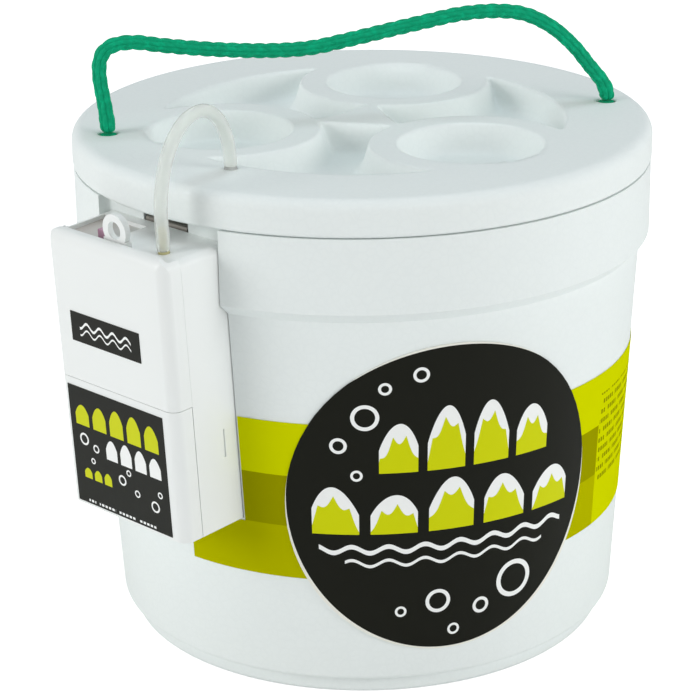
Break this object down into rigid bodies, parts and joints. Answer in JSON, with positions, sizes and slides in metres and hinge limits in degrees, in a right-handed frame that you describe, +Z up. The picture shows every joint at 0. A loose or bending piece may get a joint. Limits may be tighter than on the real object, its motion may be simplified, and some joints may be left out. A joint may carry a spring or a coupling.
{
  "type": "aerated bait bucket",
  "caption": "Foam bait pail with tray lid, rope handle and battery air pump that bubbles a stone inside through a clear hose.",
  "frame": {"origin": "centre of the pail's underside", "axes": "+Z up, -Y towards the side with the round label, +X to the right seen from there"},
  "size_m": [0.28, 0.2882, 0.3011],
  "materials": {
    "foam": "moulded bead foam, matt",
    "band_film": "printed film, satin",
    "disc_film": "printed film, satin",
    "rope": "twisted cord",
    "clear_hose": "clear soft tube, glossy",
    "air_stone": "sintered grit",
    "dark_plastic": "moulded, satin",
    "case_plastic": "moulded, satin gloss",
    "label_film": "printed film, glossy",
    "spring_steel": "plated",
    "knob_plastic": "moulded",
    "inner_plastic": "moulded",
    "black_rubber": "moulded",
    "winding": "lacquered wire",
    "magnet": "sintered",
    "motor_steel": "drawn",
    "cell_jacket": "printed jacket"
  },
  "bodies": {
    "bucket": {"bucket": "foam", "wrap_band": "band_film", "disc_label": "disc_film", "rope_knot_left": "rope", "rope_knot_right": "rope", "rear_case": "case_plastic", "front_cover": "case_plastic", "upper_label": "label_film", "belt_clip": "spring_steel", "switch_bezel": "dark_plastic", "pump_head": "inner_plastic", "valve_flaps": "black_rubber", "diaphragm": "black_rubber", "pivot_pin": "spring_steel", "magnet_ring": "magnet", "motor_can": "motor_steel", "motor_end_cap": "inner_plastic", "battery_left": "cell_jacket", "battery_right": "cell_jacket", "contact_bridge": "spring_steel", "contact_plus": "spring_steel", "contact_minus": "spring_steel", "switch_body": "dark_plastic", "clip_rivets": "spring_steel", "case_screws": "spring_steel", "outlet_nipple": "inner_plastic"},
    "lid": {"lid": "foam", "rope_leg_left": "rope", "rope_leg_right": "rope", "air_hose": "clear_hose", "drop_hose": "clear_hose", "air_stone": "air_stone", "stone_stem": "dark_plastic"},
    "handle": {"rope_handle": "rope"},
    "battery_door": {"battery_door": "case_plastic", "lower_label": "label_film"},
    "switch": {"switch_knob": "knob_plastic"},
    "rotor": {"motor_shaft": "spring_steel", "eccentric": "inner_plastic", "armature": "winding"},
    "arm": {"swing_arm": "inner_plastic"}
  },
  "joints": [
    {"name": "lid_lift", "type": "slide", "parent": "bucket", "child": "lid", "axis": [0, 0, 1], "range_m": [0, 0.035], "deforming": ["air_hose", "rope_leg_left", "rope_leg_right"]},
    {"name": "handle_swing", "type": "hinge", "parent": "lid", "child": "handle", "pos_m": [0, 0, 0.2536], "axis": [0.9724, 0.2334, 0], "range_deg": [-85, 85]},
    {"name": "battery_door_slide", "type": "slide", "parent": "bucket", "child": "battery_door", "axis": [0.0383, 0.0425, -0.9984], "range_m": [0, 0.055]},
    {"name": "switch_slide", "type": "slide", "parent": "bucket", "child": "switch", "axis": [0.7431, -0.6691, 0], "range_m": [0, 0.005]},
    {"name": "motor_spin", "type": "hinge", "parent": "bucket", "child": "rotor", "pos_m": [-0.10765, -0.09714, 0.17902], "axis": [0.668, 0.7419, 0.0572], "continuous": true},
    {"name": "arm_swing", "type": "hinge", "parent": "bucket", "child": "arm", "pos_m": [-0.12973, -0.09446, 0.17829], "axis": [0.668, 0.7419, 0.0572], "range_deg": [-3, 3], "deforming": ["diaphragm"]}
  ]
}
